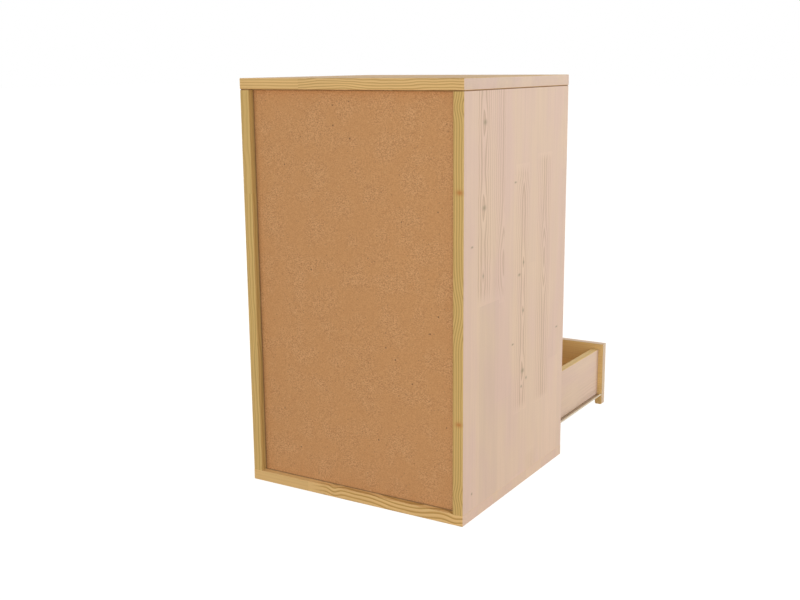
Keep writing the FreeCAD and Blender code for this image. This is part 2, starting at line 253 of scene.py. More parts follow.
BOX_GOLD = (srgb(235, 201, 136), srgb(190, 151, 84))
END_GRAIN = (0.975, 0.965, 0.945, 1.0)
TOP_ENDS = (0.945, 0.955, 0.97, 1.0)
BOTTOM_ENDS = (0.98, 0.975, 0.95, 1.0)
FRONT_ENDS = (0.93, 0.955, 0.85, 1.0)
# Painted shade on the top board's upper face
TOP_FACE_SHADE = (0.87, 0.8, 0.75, 1.0)
WHITE = (1.0, 1.0, 1.0, 1.0)
# Painted shade for the side board's tongue, in the gap where it meets the top
JOINT_SHADE = srgb(146, 103, 58)
# Painted shade on inward faces of the sides and drawer sides, deepest near the back panel
INNER_SHADE = 0.14
INNER_CORNER = 1.8
CORNER_SHADE = 10.0
GLUE_WIDTH = 0.006
SEAM_WIDTH = (0.1, 0.5)

# Noises drawn out along the grain: their length, their width and their detail
RIPPLES = (24, 30, 1.0)
FIBRES = (38, 1.1, 3.0)
STREAKS = (160, 7, 2.0)
DUCTS = (7, 0.45, 1.0)
PATCHES = (130, 45, 1.0)

# A length of a stave whose growth rings are told: its limits, where the tree's heart was, how far from it
# the first ring lies, how wide the rings are, how far they sway, how strongly they show on the pale faces and
# on the edges, how far from the heart they show on the faces, how much lighter the wood is, and how far from
# its ends the rings fade
Length = namedtuple("Length", "left right low high heart_across heart_depth first ring sway on_face on_edge "
                              "spread tone fade")

# A place where the rings bulge on the faces or on the edges, and a knot with its half sizes and how far the
# rings flow round it
Bulge = namedtuple("Bulge", "along across reach wide push on_face")
Knot = namedtuple("Knot", "along across deep tall wide thick flow")


def pine(name, node, grain, stave, glue_line, length, seed, gold=GOLD, shows=(0, 0), figure=1.0,
         edge_figure=1.0, level=1.0, ends=END_GRAIN, top_shade=WHITE, knot_chance=0.15, lengths=(),
         bulges=(), knots=(), joint=None):
    """Pine with growth rings that run through the solid, so that faces and edges agree.

    node is a board whose middle the rings are laid about. grain names the axes along the stave, across it and
    through its thickness. shows tells how much of the painted pale sheen of light the face to the front and
    the face on top get, figure how strongly the rings show on pale faces, edge_figure how strongly they show
    elsewhere, level how light the board is, and ends and top_shade how its end grain and its top are tinted,
    the end grain in its own colour and the top with painted shade. Beyond joint, along the grain, the wood is
    painted dark brown as painted shade in the joint's gap.
    """
    material, start = new_material(name)
    axes = dict(zip("xyz", millimetres(start)))
    along, across, deep = (axes[letter] for letter in grain)
    low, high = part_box(node)
    deep = deep - 500 * (low + high)["xyz".index(grain[2])]

    # Outward faces are painted pale, a painted sheen of light, and the rest keeps the wood's own gold
    facing = start.node("TexCoord", output=1).parts()
    pale = (facing[0] * start.math("SIGN", axes["x"])).squarely()
    front, top = shows
    if front:
        pale = start.math("MAXIMUM", pale, (0 - facing[1]).squarely() * front)
    if top:
        pale = start.math("MAXIMUM", pale, facing[2].squarely() * top)
    end_grain = abs(facing["xyz".index(grain[0])]).squarely()

    # Which stave, and which length of it
    turn = (across - glue_line) / stave
    index = turn.floor()
    offset = start.node("TexWhiteNoise", {"noise_dimensions": "1D"}, {"W": index + seed * 3.7})
    turn_along = along / length + offset
    piece = turn_along.floor()
    lots = start.node("TexWhiteNoise", {"noise_dimensions": "2D"}, {
        "Vector": start.vector(index + seed, piece, 0.0)}, output=1).parts()
    chances = start.node("TexWhiteNoise", {"noise_dimensions": "2D"}, {
        "Vector": start.vector(index - seed, piece + 0.5, 0.0)}, output=1).parts()

    # Where the heart of the tree was, for this length
    side = 1 - 2 * (lots[2] > 0.5)
    heart_across = glue_line + (index + 0.5) * stave + side * lots[0].between(*HEART_ASIDE)
    heart_depth = lots[1].between(*HEART_DEPTH)
    ring_width = lots[0].between(PLAIN_RING, PLAIN_RING * PLAIN_RING_WIDEST)
    first = 0
    core_width = ring_width
    unevenness = PLAIN_UNEVENNESS
    sway = lots[2].between(*PLAIN_SWAY)
    contrast = pale.between(chances[0].between(*EDGE_CONTRAST) * edge_figure,
                            chances[0].between(*FACE_CONTRAST) * figure)
    spread = EVERYWHERE
    tone = (lots[1] - 0.5) * TONE_RANGE
    joint_gap = length * (0.5 - abs(turn_along - piece - 0.5))
    own_knots = chances[1] < knot_chance
    for told in lengths:
        inside = (across > told.left) * (across < told.right) * (along > told.low) * (along < told.high)
        heart_across = inside.between(heart_across, told.heart_across)
        heart_depth = inside.between(heart_depth, told.heart_depth)
        first = inside.between(first, told.first)
        ring_width = inside.between(ring_width, told.ring)
        core_width = inside.between(core_width, max(told.first + HEART_PALE, told.ring))
        unevenness = inside.between(unevenness, TOLD_UNEVENNESS)
        sway = inside.between(sway, told.sway)
        gap = start.math("MINIMUM", along - told.low, told.high - along)
        strength = pale.between(told.on_edge, told.on_face)
        if told.fade:
            strength = strength * gap.rise(0.0, told.fade)
        contrast = inside.between(contrast, strength)
        spread = inside.between(spread, told.spread)
        tone = inside.between(tone, told.tone)
        joint_gap = inside.between(joint_gap, gap)
        own_knots = own_knots * (1 - inside)

    def drawn_out(tall, wide, detail):
        """A noise that is drawn out along the grain."""
        stretched = start.vector(along / tall, across / wide, deep / wide + seed)
        return start.node("TexNoise", inputs={"Vector": stretched, "Scale": 1.0, "Detail": detail})

    # Rings, swayed by slow waves, rippled on the faces, and pushed aside by bulges and knots
    slow = start.vector(along / 120, across / 60, deep / 60 + seed)
    wave = start.node("TexNoise", inputs={"Vector": slow, "Scale": 1.0, "Detail": 2.0}, output=1).parts()
    sway = sway * pale.between(EDGE_SWAY, FACE_SWAY)
    ripple = (drawn_out(*RIPPLES) - 0.5) * pale * RIPPLE
    off_across = across - heart_across + (wave[0] - 0.5) * sway + ripple
    off_depth = deep - heart_depth + (wave[1] - 0.5) * sway
    radius = (off_across ** 2 + off_depth ** 2) ** 0.5
    for bulge in bulges:
        far = ((along - bulge.along) / bulge.reach) ** 2 + ((across - bulge.across) / bulge.wide) ** 2
        inside = pale if bulge.on_face else 1 - pale
        radius = radius + inside * start.math("EXPONENT", 0 - far) * bulge.push
    own_along = (piece + chances[2].between(0.25, 0.75) - offset) * length
    own_across = glue_line + (index + lots[0].between(0.3, 0.7)) * stave
    own_size = chances[0].between(3, 6)
    core = 0
    for knot in (Knot(own_along, own_across, 0.0, own_size * 0.8, own_size, 30.0, 6.0), *knots):
        off_along = ((along - knot.along) / knot.tall) ** 2
        apart = ((across - knot.across) / knot.wide) ** 2 + ((deep - knot.deep) / knot.thick) ** 2
        here = own_knots if knot.along is own_along else 1
        if knot.flow:
            far = off_along / KNOT_FLOW_ALONG + apart / KNOT_FLOW_ACROSS
            radius = radius - here * start.math("EXPONENT", 0 - far) * knot.flow
        core = core + here * start.math("EXPONENT", 0 - (off_along + apart))
    core = start.math("MINIMUM", core, KNOT_STRENGTH)

    # Pale early wood that darkens to a late line, over fine fibres and broad streaks
    uneven = start.node("TexNoise", {"noise_dimensions": "1D"}, {"W": radius / 9 + tone * 400, "Scale": 1.0})
    outside = radius - first
    turns = start.math("MAXIMUM", outside / ring_width, outside / core_width)
    ring = (turns + LATE_PEAK + uneven * unevenness).fraction()
    late = ring.rise(LATE_START, LATE_PEAK) * (1 - ring.rise(LATE_PEAK, 1.0))

    fibre = drawn_out(*FIBRES)
    streak = drawn_out(*STREAKS)
    duct = drawn_out(*DUCTS).rise(0.66, 0.76)
    glue = 1 - (0.5 - abs(turn.fraction() - 0.5)).rise(0.0, GLUE_WIDTH)
    seam = start.math("MAXIMUM", glue, 1 - joint_gap.rise(*SEAM_WIDTH))

    near_heart = start.math("EXPONENT", 0 - (off_across / spread) ** 2)
    shown = late * (0.6 + 0.4 * streak) * contrast * pale.between(EDGE_GAIN, near_heart)
    shown = shown * (1 - 0.5 * end_grain)
    shown = start.math("MINIMUM", shown, 1.0)
    early_gold, late_gold = gold
    patch = drawn_out(*PATCHES)
    early_pale = (0.4 * chances[2] + 0.6 * patch.rise(0.35, 0.65)).tint(*EARLY_PALE)
    wood = shown.tint(pale.tint(early_gold, early_pale), pale.tint(late_gold, LATE_PALE))
    wood = core.tint(wood, pale.tint(KNOT_GOLD, KNOT_PALE))
    # End grain keeps its own darker tint, and the top board's upper face gets painted shade
    end_tint_and_top_shade = end_grain.tint(WHITE, ends)
    if top:
        end_tint_and_top_shade = facing[2].squarely().tint(end_tint_and_top_shade, top_shade)
    wood = wood.node("Mix", {"data_type": "RGBA", "blend_type": "MULTIPLY"}, {
        0: 1.0, 6: wood, 7: end_tint_and_top_shade}, output=2)
    # Inward faces are darkened, most of all in the corner by the back panel: painted shade
    inward = (0 - facing[0] * start.math("SIGN", axes["x"])).squarely()
    panel = 1000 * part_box("back_panel")[1].y
    corner = axes["y"].rise(panel - CORNER_SHADE, panel) * (1 - axes["y"].rise(panel, panel + CORNER_SHADE))
    inward = inward * corner.between(1.0, INNER_CORNER)
    light = level + tone + (fibre - 0.5) * pale.between(0.09, 0.05) + (streak - 0.5) * 0.1
    light = light + (patch - 0.5) * 0.1 - inward * INNER_SHADE - seam * 0.04 - duct * late * 0.08
    wood = start.node("HueSaturation", inputs={"Value": light, "Color": wood})
    # Beyond the shoulder the tongue is painted dark brown: painted shade in the joint's gap
    if joint:
        wood = (along > joint).tint(wood, JOINT_SHADE)
    height = fibre - late * 0.6 - seam - duct * 0.4
    bump = start.node("Bump", inputs={"Strength": 0.08, "Distance": 0.0004, "Height": height})
    surface(start, Base_Color=wood, Roughness=0.55 + 0.1 * fibre - 0.08 * late, Normal=bump,
            Specular_IOR_Level=0.3)
    return material


# Other finishes

BOARD_BROWN = srgb(216, 162, 107)
BOARD_DARK = srgb(184, 129, 78)
BOARD_LIGHT = srgb(231, 182, 130)
BOARD_SPECK = srgb(108, 72, 44)
BOARD_PALE_FIBRE = srgb(232, 192, 142)
FIBRE_STRETCH = (0.65, 1.0, 0.9)
FINE_GRAIN = 570.0
COARSE_GRAIN = 22.0
CLOUDS = 5.0
# Widths of the painted shade on the back panel beside the frame
PANEL_SHADE = 10.0
PANEL_LINE = 3.5


def hardboard():
    """Pressed brown fibre, mottled, with a few dark specks and pale fibres, and painted shade beside the
    frame.
    """
    material, start = new_material("hardboard")
    place = start.node("TexCoord", output=3)
    lengthwise = place.node("VectorMath", {"operation": "MULTIPLY"}, {0: place, 1: FIBRE_STRETCH})
    fine = start.node("TexNoise", inputs={
        "Vector": lengthwise, "Scale": FINE_GRAIN, "Detail": 3.0, "Roughness": 0.75})
    coarse = start.node("TexNoise", inputs={"Vector": place, "Scale": COARSE_GRAIN, "Detail": 4.0})
    cloud = start.node("TexNoise", inputs={"Vector": place, "Scale": CLOUDS, "Detail": 2.0})

    def specks(scale, share, low, high):
        """Small spots in a share of the cells of a random pattern."""
        spread = {"Vector": place, "Scale": scale, "Randomness": 1.0}
        distance = start.node("TexVoronoi", inputs=spread)
        chance = start.node("TexVoronoi", inputs=spread, output=1).parts()
        return (1 - distance.rise(low, high)) * (chance[0] < share)

    shade = (0.9 * fine + 0.1 * coarse).rise(0.34, 0.66).tint(BOARD_DARK, BOARD_LIGHT)
    brown = (0.4 + 0.6 * coarse.rise(0.38, 0.66)).tint(BOARD_BROWN, shade)
    brown = (specks(62.0, 0.2, 0.05, 0.12) * 0.8).tint(brown, BOARD_SPECK)
    brown = (specks(210.0, 0.12, 0.1, 0.28) * 0.4).tint(brown, BOARD_SPECK)
    brown = (specks(170.0, 0.1, 0.1, 0.3) * 0.5).tint(brown, BOARD_PALE_FIBRE)
    # Darker beside the side panels and along the top and bottom boards: painted shade in the recess
    x, _, z = millimetres(start)
    corner_low, corner_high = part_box("right_side_panel")
    side_gap = corner_low.x * 1000 - abs(x)
    level_gap = start.math("MINIMUM", corner_high.z * 1000 - z, abs(z - corner_low.z * 1000))
    beside = 1 - start.math("MINIMUM", side_gap, level_gap * 2.5).rise(0.0, PANEL_SHADE)
    corner = 1 - start.math("MINIMUM", side_gap, level_gap * 1.4).rise(0.0, PANEL_LINE)
    level = 1 + 0.04 * (cloud - 0.5) + 0.03 * (coarse - 0.5) - 0.22 * beside - 0.4 * corner
    brown = start.node("HueSaturation", inputs={"Value": level, "Color": brown})
    bump = start.node("Bump", inputs={"Strength": 0.15, "Distance": 0.0005, "Height": fine})
    surface(start, Base_Color=brown, Roughness=0.6 + 0.14 * fine, Normal=bump)
    return material


# Painted shade in the drawer rail's gutter beside the drawer side
GUTTER_SHADE = srgb(140, 108, 74)


def grained(name, light, dark, roughness, metallic=0.0, scale=180.0, coat=0.0, gutter=False):
    """An even finish with a fine mottle in its colour, gloss and surface. In a gutter, the upward faces get
    painted shade.
    """
    material, start = new_material(name)
    place = start.node("TexCoord", output=3)
    fine = start.node("TexNoise", inputs={"Vector": place, "Scale": scale, "Detail": 4.0, "Roughness": 0.6})
    broad = start.node("TexNoise", inputs={"Vector": place, "Scale": scale / 14, "Detail": 2.0})
    colour = (0.6 * fine + 0.4 * broad).rise(0.3, 0.7).tint(dark, light)
    # Upward faces in the gutter are darkened: painted shade
    if gutter:
        across = abs(millimetres(start)[0])
        upward = start.node("TexCoord", output=1).parts()[2]
        low = 1000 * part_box("drawer_1_right_side")[1].x
        high = 1000 * (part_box("drawer_1_rails")[1].x - HEM)
        inside = (across > low - 1) * (across < high) * upward.squarely()
        colour = (inside * fine.between(0.6, 1.0)).tint(colour, GUTTER_SHADE)
    bump = start.node("Bump", inputs={"Strength": 0.06, "Distance": 0.0002, "Height": fine})
    surface(start, Base_Color=colour, Roughness=roughness + 0.12 * (fine - 0.5), Metallic=metallic,
            Coat_Weight=coat, Normal=bump)
    return material


# Modelling by hand

NEAR = 1e-5
SHARP = math.radians(30)
QUARTER_TURN = math.radians(90)
TURN_STEPS = 48
SMALL_TURN_STEPS = 24
X, Y, Z = 0, 1, 2


def shifted(place, axis, amount):
    """A copy of a place, moved along one axis."""
    moved = place.copy()
    moved[axis] += amount
    return moved


def open_piece(name):
    """Name the primitive that was just added, keep its place in its mesh, and go into edit mode."""
    piece = bpy.context.object
    piece.name = name
    bpy.ops.object.transform_apply(location=True, rotation=True, scale=True)
    bpy.ops.object.mode_set(mode="EDIT")
    return piece


def block(name, low, high):
    """A box between two corners."""
    bpy.ops.object.select_all(action="DESELECT")
    bpy.ops.mesh.primitive_cube_add(size=1, location=(low + high) / 2, scale=high - low)
    return open_piece(name)


def strip(name, low, high):
    """A flat rectangle in a level plane, between two corners."""
    bpy.ops.object.select_all(action="DESELECT")
    bpy.ops.mesh.primitive_plane_add(size=1, location=(low + high) / 2)
    bpy.ops.transform.resize(value=shifted(high - low, Z, 1))
    return open_piece(name)


def choose(piece, kind, wanted):
    """Select the edges or faces that wanted() picks."""
    bpy.ops.mesh.select_mode(type=kind)
    bpy.ops.mesh.select_all(action="DESELECT")
    mesh = bmesh.from_edit_mesh(piece.data)
    for item in mesh.edges if kind == "EDGE" else mesh.faces:
        if wanted(item):
            item.select_set(True)
    bmesh.update_edit_mesh(piece.data)


def slice_at(axis, *places):
    """Cut lines round the piece, square to an axis."""
    square = shifted(Vector(), axis, 1)
    for place in places:
        bpy.ops.mesh.select_all(action="SELECT")
        bpy.ops.mesh.bisect(plane_co=square * place, plane_no=square)


def push(piece, wanted, axis, amount):
    """Extrude the faces that wanted() picks."""
    choose(piece, "FACE", wanted)
    bpy.ops.mesh.extrude_region_move(TRANSFORM_OT_translate={"value": shifted(Vector(), axis, amount)})


def fold(axis, amount):
    """Extrude the edge that is selected."""
    bpy.ops.mesh.extrude_region_move(TRANSFORM_OT_translate={"value": shifted(Vector(), axis, amount)})


def ease(piece, wanted, width, segments):
    """Round the edges that wanted() picks."""
    choose(piece, "EDGE", wanted)
    bpy.ops.mesh.bevel(offset=width, segments=segments, affect="EDGES")


def runs(edge, axis):
    """Whether an edge runs along an axis."""
    start, end = (vert.co for vert in edge.verts)
    return abs((end - start).normalized()[axis]) > 1 - NEAR


def lies(item, axis, place):
    """Whether all of an edge or a face lies at a place on an axis."""
    return all(abs(vert.co[axis] - place) < NEAR for vert in item.verts)


def within(face, axis, low, high):
    """Whether a face's middle lies between two places on an axis."""
    return low < face.calc_center_median()[axis] < high


def is_corner(edge):
    return edge.calc_face_angle(0) > SHARP


def turned(name, outline, axis, out, closed=False, steps=TURN_STEPS):
    """A turned solid about an axis through the origin. The outline is (along the axis, radius) pairs."""
    places = []
    for length, radius in outline:
        places.append(shifted(shifted(Vector(), axis, length), out, radius))
    if closed:
        places.append(places[0])
    bpy.ops.object.select_all(action="DESELECT")
    bpy.ops.mesh.primitive_plane_add(size=1, location=(0, 0, 0))
    piece = open_piece(name)
    bpy.ops.mesh.select_mode(type="VERT")
    bpy.ops.mesh.select_all(action="SELECT")
    bpy.ops.mesh.merge(type="CENTER")
    bpy.ops.transform.translate(value=places[0])
    for before, after in zip(places, places[1:]):
        bpy.ops.mesh.extrude_vertices_move(TRANSFORM_OT_translate={"value": after - before})
    bpy.ops.mesh.select_all(action="SELECT")
    bpy.ops.mesh.remove_doubles(threshold=NEAR)
    bpy.ops.mesh.spin(steps=steps, angle=math.tau, center=(0, 0, 0), axis=shifted(Vector(), axis, 1))
    bpy.ops.mesh.select_all(action="SELECT")
    bpy.ops.mesh.remove_doubles(threshold=NEAR)
    bpy.ops.mesh.normals_make_consistent(inside=False)
    bpy.ops.object.mode_set(mode="OBJECT")
    return piece


def close_piece(piece):
    """Leave edit mode with the faces outwards."""
    bpy.ops.mesh.select_all(action="SELECT")
    bpy.ops.mesh.normals_make_consistent(inside=False)
    bpy.ops.object.mode_set(mode="OBJECT")
    return piece


def apply(piece, kind, **settings):
    """Add a modifier and apply it."""
    modifier = piece.modifiers.new(kind.lower(), kind)
    for name, value in settings.items():
        setattr(modifier, name, value)
    bpy.ops.object.select_all(action="DESELECT")
    piece.select_set(True)
    bpy.context.view_layer.objects.active = piece
    bpy.ops.object.modifier_apply(modifier=modifier.name)


def cut_out(piece, cutter):
    apply(piece, "BOOLEAN", operation="DIFFERENCE", solver="EXACT", object=cutter)
    bpy.data.objects.remove(cutter)


def copy_of(piece, name, place):
    """A copy with a mesh of its own, moved or turned by a matrix."""
    copy = bpy.data.objects.new(name, piece.data.copy())
    copy.data.transform(place)
    bpy.context.scene.collection.objects.link(copy)
    return copy


def mirror_of(piece, name):
    """The same piece on the other side of the middle plane."""
    copy = copy_of(piece, name, Matrix.Scale(-1, 4, (1, 0, 0)))
    copy.data.flip_normals()
    return copy


def joined(name, pieces):
    """Several pieces as the separate solids of one."""
    bpy.ops.object.select_all(action="DESELECT")
    for piece in pieces:
        piece.select_set(True)
    bpy.context.view_layer.objects.active = pieces[0]
    bpy.ops.object.join()
    pieces[0].name = name
    return pieces[0]


def settle(piece, node, finish):
    """Hand a finished piece to the frame in place of a node."""
    bpy.ops.object.select_all(action="DESELECT")
    piece.select_set(True)
    bpy.context.view_layer.objects.active = piece
    bpy.ops.object.shade_smooth_by_angle(angle=SHARP)
    piece.data.materials.clear()
    piece.data.materials.append(finish)
    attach(piece, frame["nodes"][node]["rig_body"])
    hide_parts(node)


# Carcass

BOARD_ROUND = 0.002
END_ROUND = 0.0012
INNER_ROUND = 0.0006
INNER_STEPS = 2
JOINT_GAP = 0.0013
JOINT_REACH = 0.0012
FOOT_EDGE = 0.0002
GROOVE_DEPTH = 0.006
GROOVE_PLAY = 0.0002
ROUND_STEPS = 4


def groove_limits():
    low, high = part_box("back_panel")
    return low.y - GROOVE_PLAY, high.y + GROOVE_PLAY


def end_board(node, name, inner, level_round):
    """The top or the bottom board. inner is 1 where its inner face looks up, and -1 where it looks down."""
    low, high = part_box(node)
    front, rear = groove_limits()
    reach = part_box("back_panel")[1].x + GROOVE_PLAY
    face = high.z if inner > 0 else low.z
    piece = block(name, low, high)
    if level_round == END_ROUND:
        ease(piece, is_corner, END_ROUND, ROUND_STEPS)
    else:
        ease(piece, lambda edge: runs(edge, Z), END_ROUND, ROUND_STEPS)
        ease(piece, lambda edge: lies(edge, Z, low.z) or lies(edge, Z, high.z), level_round, 1)
    slice_at(X, -reach, reach)
    slice_at(Y, front, rear)
    push(piece, lambda item: lies(item, Z, face) and within(item, X, -reach, reach)
         and within(item, Y, front, rear), Z, -inner * GROOVE_DEPTH)
    return close_piece(piece)


def side_board(node, name):
    """A side board, shouldered under the top so that their joint is a fine dark line, from the gap's own
    shade and from painted shade on the tongue.
    """
    low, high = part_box(node)
    front, rear = groove_limits()
    inner, depth = (high.x, -GROOVE_DEPTH) if high.x < 0 else (low.x, GROOVE_DEPTH)
    shoulder = high.z - JOINT_GAP
    piece = block(name, low, Vector((high.x, high.y, shoulder)))
    ease(piece, lambda edge: runs(edge, Z) and not lies(edge, X, inner), BOARD_ROUND, ROUND_STEPS)
    ease(piece, lambda edge: runs(edge, Z) and lies(edge, X, inner) and is_corner(edge),
         INNER_ROUND, INNER_STEPS)
    choose(piece, "FACE", lambda item: lies(item, Z, shoulder))
    bpy.ops.mesh.inset(thickness=JOINT_REACH)
    bpy.ops.mesh.extrude_region_move(TRANSFORM_OT_translate={"value": (0, 0, JOINT_GAP)})
    slice_at(Y, front, rear)
    push(piece, lambda item: lies(item, X, inner) and within(item, Y, front, rear), X, depth)
    return close_piece(piece)


# Drawers

GRIP_HEIGHT = 0.018
GRIP_FOOT = 0.015
GRIP_ROUND = 0.006
FOOT_ROUND = 0.003
FRONT_ROUND = 0.0015
BOX_ROUND = 0.0012
HOUSING_DEPTH = 0.006
BOX_GROOVE = 0.005
CORNER_STEPS = 6


def drawer_front(name):
    """An inset front: a block with two feet drawn down from it, rounded, and housed for the box behind."""
    low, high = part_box("drawer_1_front")
    grip = low.z + GRIP_HEIGHT
    foot = high.x - GRIP_FOOT
    piece = block(name, Vector((low.x, low.y, grip)), high)
    slice_at(X, -foot, foot)
    push(piece, lambda item: lies(item, Z, grip) and not within(item, X, -foot, foot), Z, -GRIP_HEIGHT)
    ease(piece, lambda edge: runs(edge, Y) and lies(edge, Z, grip) and is_corner(edge),
         GRIP_ROUND, CORNER_STEPS)
    ease(piece, lambda edge: runs(edge, Y) and lies(edge, Z, low.z), FOOT_ROUND, ROUND_STEPS)
    ease(piece, lambda edge: is_corner(edge) and (lies(edge, Y, low.y) or lies(edge, Y, high.y)),
         FRONT_ROUND, ROUND_STEPS)
    left_low, left_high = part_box("drawer_1_left_side")
    right_low, right_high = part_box("drawer_1_right_side")
    floor_low, floor_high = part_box("drawer_1_bottom")
    top = right_high.z + GROOVE_PLAY
    groove = (floor_low.z - GROOVE_PLAY, floor_high.z + GROOVE_PLAY)
    slice_at(X, left_low.x, left_high.x, right_low.x, right_high.x)
    slice_at(Z, right_low.z, *groove, top)

    def housing(item):
        beside = within(item, X, left_low.x, left_high.x) or within(item, X, right_low.x, right_high.x)
        return lies(item, Y, high.y) and beside and within(item, Z, right_low.z, top)

    def slot(item):
        between_sides = within(item, X, left_high.x, right_low.x)
        return lies(item, Y, high.y) and between_sides and within(item, Z, *groove)

    push(piece, housing, Y, -HOUSING_DEPTH)
    push(piece, slot, Y, -BOX_GROOVE)
    return close_piece(piece)


def drawer_side(name):
    """The right-hand side, grooved for the bottom and housed for the back, with a rounded top."""
    low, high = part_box("drawer_1_right_side")
    floor_low, floor_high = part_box("drawer_1_bottom")
    back_low, back_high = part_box("drawer_1_back")
    groove = (floor_low.z - GROOVE_PLAY, floor_high.z + GROOVE_PLAY)
    housing = (back_low.y - GROOVE_PLAY, back_high.y + GROOVE_PLAY)
    piece = block(name, low, high)
    ease(piece, lambda edge: runs(edge, Y), BOX_ROUND, ROUND_STEPS)
    slice_at(Z, *groove)
    slice_at(Y, *housing)

    def sunk(item):
        in_groove = within(item, Z, *groove)
        in_housing = within(item, Y, *housing) and item.calc_center_median().z > groove[0]
        return lies(item, X, low.x) and (in_groove or in_housing)

    push(piece, sunk, X, BOX_GROOVE)
    return close_piece(piece)


def drawer_back(name):
    low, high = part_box("drawer_1_back")
    piece = block(name, low, high)
    ease(piece, lambda edge: runs(edge, X) and lies(edge, Z, high.z), BOX_ROUND, ROUND_STEPS)
    return close_piece(piece)


# Runners, modelled on the right for the lowest drawer

SHEET = 0.0012
CHANNEL_WIDTH = 0.011
STOP_START = 0.0358
STOP_DROP = 0.0045
REAR_STOP = 0.335
BEND = 0.0016
BEND_STEPS = 4
HEM = 0.0033
HEM_ROUND = SHEET * 0.45
FLANGE_WIDTH = 0.0243
EAR_BACK = 0.020
EAR_HALF = 0.0065
EAR_ROUND = 0.003
PIN_RADIUS = 0.0025
PIN_LENGTH = 0.0081
RIVET_RADIUS = 0.0036
RIVET_LENGTH = 0.0006
SLOT_LENGTH = 0.007
SLOT_WIDTH = 0.0039
SLOT_ROUND = SLOT_WIDTH * 0.45
ROLLER_RADIUS = 0.0085
ROLLER_WIDTH = 0.007
ROLLER_BORE = 0.00255
ROLLER_EDGE = 0.0006
HUB_RADIUS = 0.0042
RIM_RADIUS = 0.0071
DISH = 0.0009


def roller_place(node):
    """The middle of a right-hand roller's inner face, on its axis."""
    low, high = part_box(node)
    return Vector((high.x - ROLLER_WIDTH, (low.y + high.y) / 2, (low.z + high.z) / 2))


def pin(place, inwards):
    """A rivet that stands on a plate and carries a roller. place is on the plate's face."""
    outline = ((0, 0), (0, PIN_RADIUS), (PIN_LENGTH, PIN_RADIUS), (PIN_LENGTH, RIVET_RADIUS),
               (PIN_LENGTH + RIVET_LENGTH, RIVET_RADIUS - RIVET_LENGTH), (PIN_LENGTH + RIVET_LENGTH, 0))
    piece = turned("pin", outline, X, Y, steps=SMALL_TURN_STEPS)
    turn = Matrix.Rotation(math.pi if inwards else 0, 4, "Z")
    piece.data.transform(Matrix.Translation(place) @ turn)
    return piece


def slot_cutter(middle, across):
    """A block that cuts a screw's slot along Y. across is the axis of the slot's width."""
    half = Vector((SHEET * 2, SLOT_LENGTH / 2, SHEET * 2))
    half[across] = SLOT_WIDTH / 2
    cutter = block("slot", middle - half, middle + half)
    through = X + Z - across
    ease(cutter, lambda edge: runs(edge, through), SLOT_ROUND, ROUND_STEPS)
    return close_piece(cutter)


def cabinet_rail(name):
    """A C-shaped rail, folded from a strip, with a bent stop at each end of its roof."""
    low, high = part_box("cabinet_rails_1")
    half = SHEET / 2
    lip = high.x - CHANNEL_WIDTH
    web = high.x - half
    roof = high.z - half
    stop = low.y + STOP_START + half
    piece = strip(name, Vector((lip, low.y, low.z + half)), Vector((web, high.y, low.z + half)))
    choose(piece, "EDGE", lambda edge: lies(edge, X, web))
    fold(Z, roof - low.z - half)
    fold(X, lip - web)
    slice_at(Y, stop)
    choose(piece, "FACE", lambda item: lies(item, Z, roof) and within(item, Y, low.y, stop))
    bpy.ops.mesh.delete(type="FACE")
    choose(piece, "EDGE", lambda edge: lies(edge, Z, roof) and lies(edge, Y, stop))
    fold(Z, -STOP_DROP - half)
    ease(piece, is_corner, BEND, BEND_STEPS)
    close_piece(piece)
    apply(piece, "SOLIDIFY", thickness=SHEET, offset=0)
    for screw in cabinet_screw_places():
        cut_out(piece, slot_cutter(Vector((web, screw.y, screw.z)), Z))
    tab = Vector((lip, low.y + REAR_STOP, high.z - SHEET - STOP_DROP))
    rear_stop = block("rear_stop", tab, Vector((web - SHEET, tab.y + SHEET, high.z - SHEET)))
    ease(rear_stop, lambda edge: runs(edge, Y) and lies(edge, Z, tab.z), half, ROUND_STEPS)
    close_piece(rear_stop)
    axle = roller_place("front_rollers_1")
    return joined(name, [piece, rear_stop, pin(Vector((high.x - SHEET, axle.y, axle.z)), True)])


def drawer_rail(name):
    """A flange under the drawer side, hemmed on its outer edge, with an ear for the rear roller."""
    low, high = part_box("drawer_1_rails")
    side_low, side_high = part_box("drawer_1_right_side")
    half = SHEET / 2
    outer = high.x - half
    inner = high.x - FLANGE_WIDTH
    level = side_low.z - half
    ear = Vector((side_high.x, high.y - EAR_BACK - EAR_HALF, low.z))
    piece = strip(name, Vector((inner, low.y, level)), Vector((outer, high.y, level)))
    choose(piece, "EDGE", lambda edge: lies(edge, X, outer))
    fold(Z, SHEET)
    fold(X, half - HEM)
    ease(piece, is_corner, HEM_ROUND, ROUND_STEPS)
    close_piece(piece)
    apply(piece, "SOLIDIFY", thickness=SHEET, offset=0)
    for screw in drawer_screw_places():
        cut_out(piece, slot_cutter(Vector((screw.x, screw.y, level)), X))
    plate = block("ear", ear, Vector((ear.x + SHEET, ear.y + 2 * EAR_HALF, side_low.z - SHEET)))
    ease(plate, lambda edge: runs(edge, X) and lies(edge, Z, ear.z), EAR_ROUND, CORNER_STEPS)
    close_piece(plate)
    axle = roller_place("rear_rollers_1")
    return joined(name, [piece, plate, pin(Vector((ear.x + SHEET, axle.y, axle.z)), False)])


